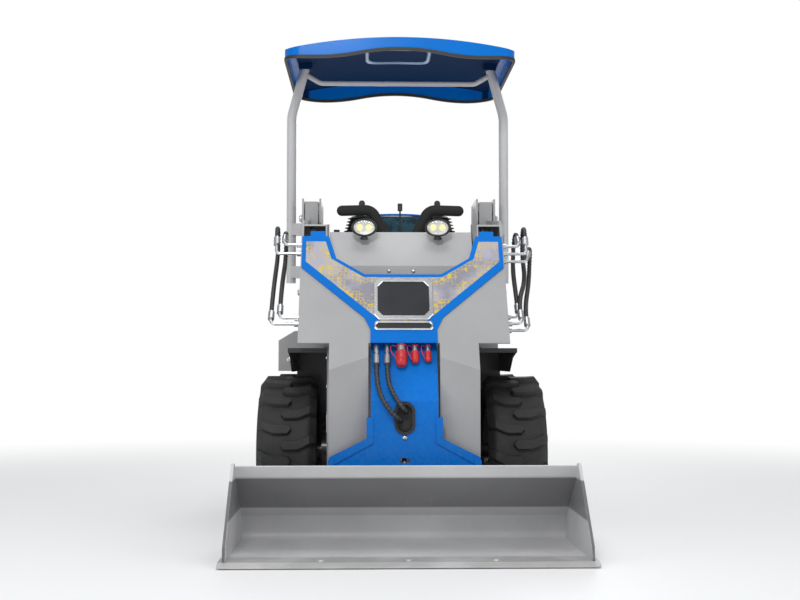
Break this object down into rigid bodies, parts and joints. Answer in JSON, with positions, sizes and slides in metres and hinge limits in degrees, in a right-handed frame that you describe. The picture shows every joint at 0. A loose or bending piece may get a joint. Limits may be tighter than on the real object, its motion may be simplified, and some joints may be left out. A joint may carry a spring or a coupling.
{
  "type": "skid steer loader",
  "caption": "Compact skid steer loader with a wide bucket, boom arms joined by a sloping front plate, open operator's station and a moulded canopy roof.",
  "frame": {"origin": "on the ground, in the middle of the machine's length and width", "axes": "front -Y, rear +Y, left wheel side -X as seen from the front, up +Z"},
  "size_m": [1.405, 2.62, 2.3426],
  "materials": {
    "tyre_rubber": "matt moulded rubber",
    "wheel_paint": "satin light grey paint",
    "grey_paint": "satin light grey paint",
    "blue_paint": "glossy blue paint",
    "black_paint": "satin black paint",
    "black_plastic": "grained black plastic",
    "foam_grip": "black foam sleeve",
    "black_rubber": "matt black rubber",
    "red_rubber": "matt red rubber",
    "chrome_rod": "hard chrome",
    "zinc_steel": "zinc plated",
    "worn_steel": "bare worn steel",
    "lamp_glass": "clear moulded lens",
    "seat_cloth": "dark teal mottled cloth",
    "cast_block": "as cast"
  },
  "bodies": {
    "chassis": {"axle_housings": "black_paint", "chassis_tub": "grey_paint", "front_fenders": "black_paint", "side_boxes": "grey_paint", "uprights": "grey_paint", "engine_block": "cast_block", "engine_cover": "grey_paint", "rear_bumper": "black_paint", "floor_plate": "black_paint", "console": "grey_paint", "lamp_housings": "black_plastic", "lamp_lenses": "lamp_glass", "hand_rails": "foam_grip", "control_levers": "black_plastic", "lever_bellows": "black_rubber", "seat_frame": "black_paint", "seat_cushion": "seat_cloth", "seat_back": "seat_cloth", "canopy_frame": "grey_paint", "roof_shell": "blue_paint", "roof_trim": "black_rubber"},
    "wheel_front_left": {"tyre_front_left": "tyre_rubber", "rim_front_left": "wheel_paint"},
    "wheel_front_right": {"tyre_front_right": "tyre_rubber", "rim_front_right": "wheel_paint"},
    "wheel_rear_left": {"tyre_rear_left": "tyre_rubber", "rim_rear_left": "wheel_paint"},
    "wheel_rear_right": {"tyre_rear_right": "tyre_rubber", "rim_rear_right": "wheel_paint"},
    "boom": {"boom_frame": "grey_paint", "cross_plate": "blue_paint", "blank_plates": "zinc_steel", "front_cover": "blue_paint", "hose_grommet": "black_rubber", "couplers": "zinc_steel", "coupler_caps": "red_rubber", "hydraulic_pipes": "zinc_steel", "front_hose_outer": "black_rubber", "front_hose_inner": "black_rubber", "side_hose_left_outer": "black_rubber", "side_hose_left_inner": "black_rubber", "side_hose_right_inner": "black_rubber", "side_hose_right_middle": "black_rubber", "side_hose_right_outer": "black_rubber"},
    "lift_barrel_left": {"lift_barrel_left": "black_paint"},
    "lift_rod_left": {"lift_rod_left": "chrome_rod"},
    "lift_barrel_right": {"lift_barrel_right": "black_paint"},
    "lift_rod_right": {"lift_rod_right": "chrome_rod"},
    "tilt_barrel": {"tilt_barrel": "black_paint"},
    "tilt_rod": {"tilt_rod": "chrome_rod"},
    "bucket": {"tool_carrier": "grey_paint", "bucket_shell": "grey_paint", "cutting_edge": "worn_steel"},
    "rear_door": {"rear_door": "grey_paint", "rear_grille": "black_paint"}
  },
  "joints": [
    {"name": "wheel_spin_front_left", "type": "hinge", "parent": "chassis", "child": "wheel_front_left", "pos_m": [-0.5135, -0.107, 0.343], "axis": [1, 0, 0], "continuous": true},
    {"name": "wheel_spin_front_right", "type": "hinge", "parent": "chassis", "child": "wheel_front_right", "pos_m": [0.5135, -0.107, 0.343], "axis": [1, 0, 0], "continuous": true},
    {"name": "wheel_spin_rear_left", "type": "hinge", "parent": "chassis", "child": "wheel_rear_left", "pos_m": [-0.5135, 0.713, 0.343], "axis": [1, 0, 0], "continuous": true},
    {"name": "wheel_spin_rear_right", "type": "hinge", "parent": "chassis", "child": "wheel_rear_right", "pos_m": [0.5135, 0.713, 0.343], "axis": [1, 0, 0], "continuous": true},
    {"name": "boom_lift", "type": "hinge", "parent": "chassis", "child": "boom", "pos_m": [0, 0.31, 1.47], "axis": [-1, 0, 0], "range_deg": [0, 72]},
    {"name": "lift_swing_left", "type": "hinge", "parent": "chassis", "child": "lift_barrel_left", "pos_m": [-0.3925, 0.44, 0.95], "axis": [-1, 0, 0], "range_deg": [0, 48]},
    {"name": "lift_slide_left", "type": "slide", "parent": "lift_barrel_left", "child": "lift_rod_left", "axis": [0, -0.9908, 0.1354], "range_m": [0, 0.455]},
    {"name": "lift_swing_right", "type": "hinge", "parent": "chassis", "child": "lift_barrel_right", "pos_m": [0.3925, 0.44, 0.95], "axis": [-1, 0, 0], "range_deg": [0, 48]},
    {"name": "lift_slide_right", "type": "slide", "parent": "lift_barrel_right", "child": "lift_rod_right", "axis": [0, -0.9908, 0.1354], "range_m": [0, 0.455]},
    {"name": "bucket_tilt", "type": "hinge", "parent": "boom", "child": "bucket", "pos_m": [0, -0.62, 0.195], "axis": [-1, 0, 0], "range_deg": [-100, 25]},
    {"name": "tilt_swing", "type": "hinge", "parent": "boom", "child": "tilt_barrel", "pos_m": [0, -0.51, 0.905], "axis": [-1, 0, 0], "range_deg": [-4.5, 1.5]},
    {"name": "tilt_slide", "type": "slide", "parent": "tilt_barrel", "child": "tilt_rod", "axis": [0, -0.2894, -0.9572], "range_m": [-0.038, 0.149]},
    {"name": "rear_door_hinge", "type": "hinge", "parent": "chassis", "child": "rear_door", "pos_m": [-0.345, 1.205, 0.565], "axis": [0, 0, 1], "range_deg": [0, 105]}
  ],
  "couplings": [
    {"joint": "lift_swing_left", "follows": "boom_lift", "ratio": 0.654},
    {"joint": "lift_slide_left", "follows": "boom_lift", "m_per_rad": 0.3608},
    {"joint": "lift_swing_right", "follows": "boom_lift", "ratio": 0.654},
    {"joint": "lift_slide_right", "follows": "boom_lift", "m_per_rad": 0.3608},
    {"joint": "tilt_swing", "follows": "bucket_tilt", "ratio": 0.042},
    {"joint": "tilt_slide", "follows": "bucket_tilt", "m_per_rad": -0.085}
  ]
}
